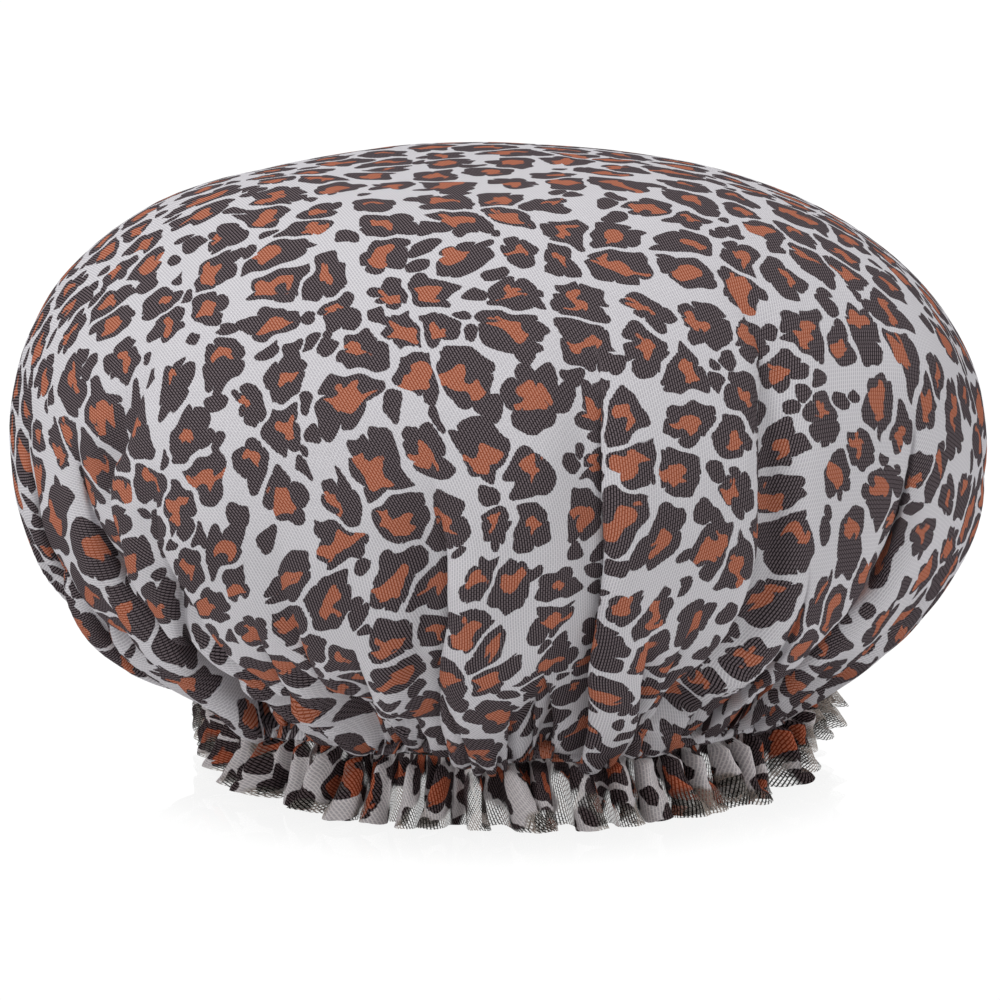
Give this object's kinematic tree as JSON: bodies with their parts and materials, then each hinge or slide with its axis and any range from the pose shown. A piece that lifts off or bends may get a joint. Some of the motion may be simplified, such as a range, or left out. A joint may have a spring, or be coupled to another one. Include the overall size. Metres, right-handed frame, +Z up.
{
  "type": "hair bonnet",
  "caption": "Puffed round hair bonnet of printed mesh cloth with a film lining, gathered on an elastic band above a pleated frill.",
  "frame": {"origin": "on the surface the bonnet stands on, under the middle of its outline", "axes": "+Z up through the crown, -Y towards the viewer of the picture, +X to that viewer's right"},
  "size_m": [0.2638, 0.2638, 0.164],
  "materials": {
    "printed_cloth": "printed polyester mesh knit, matte",
    "lining_film": "milky waterproof film",
    "elastic": "knitted elastic",
    "tape": "plain woven tape",
    "thread": "spun polyester sewing thread"
  },
  "bodies": {
    "root": {"crown_cloth": "printed_cloth", "frill": "printed_cloth", "lining": "lining_film", "elastic_band": "elastic", "casing_tape": "tape", "elastic_lap_tack": "thread", "upper_seam_needle_thread": "thread", "upper_seam_bobbin_thread": "thread", "lower_seam_needle_thread": "thread", "lower_seam_bobbin_thread": "thread"}
  },
  "joints": []
}
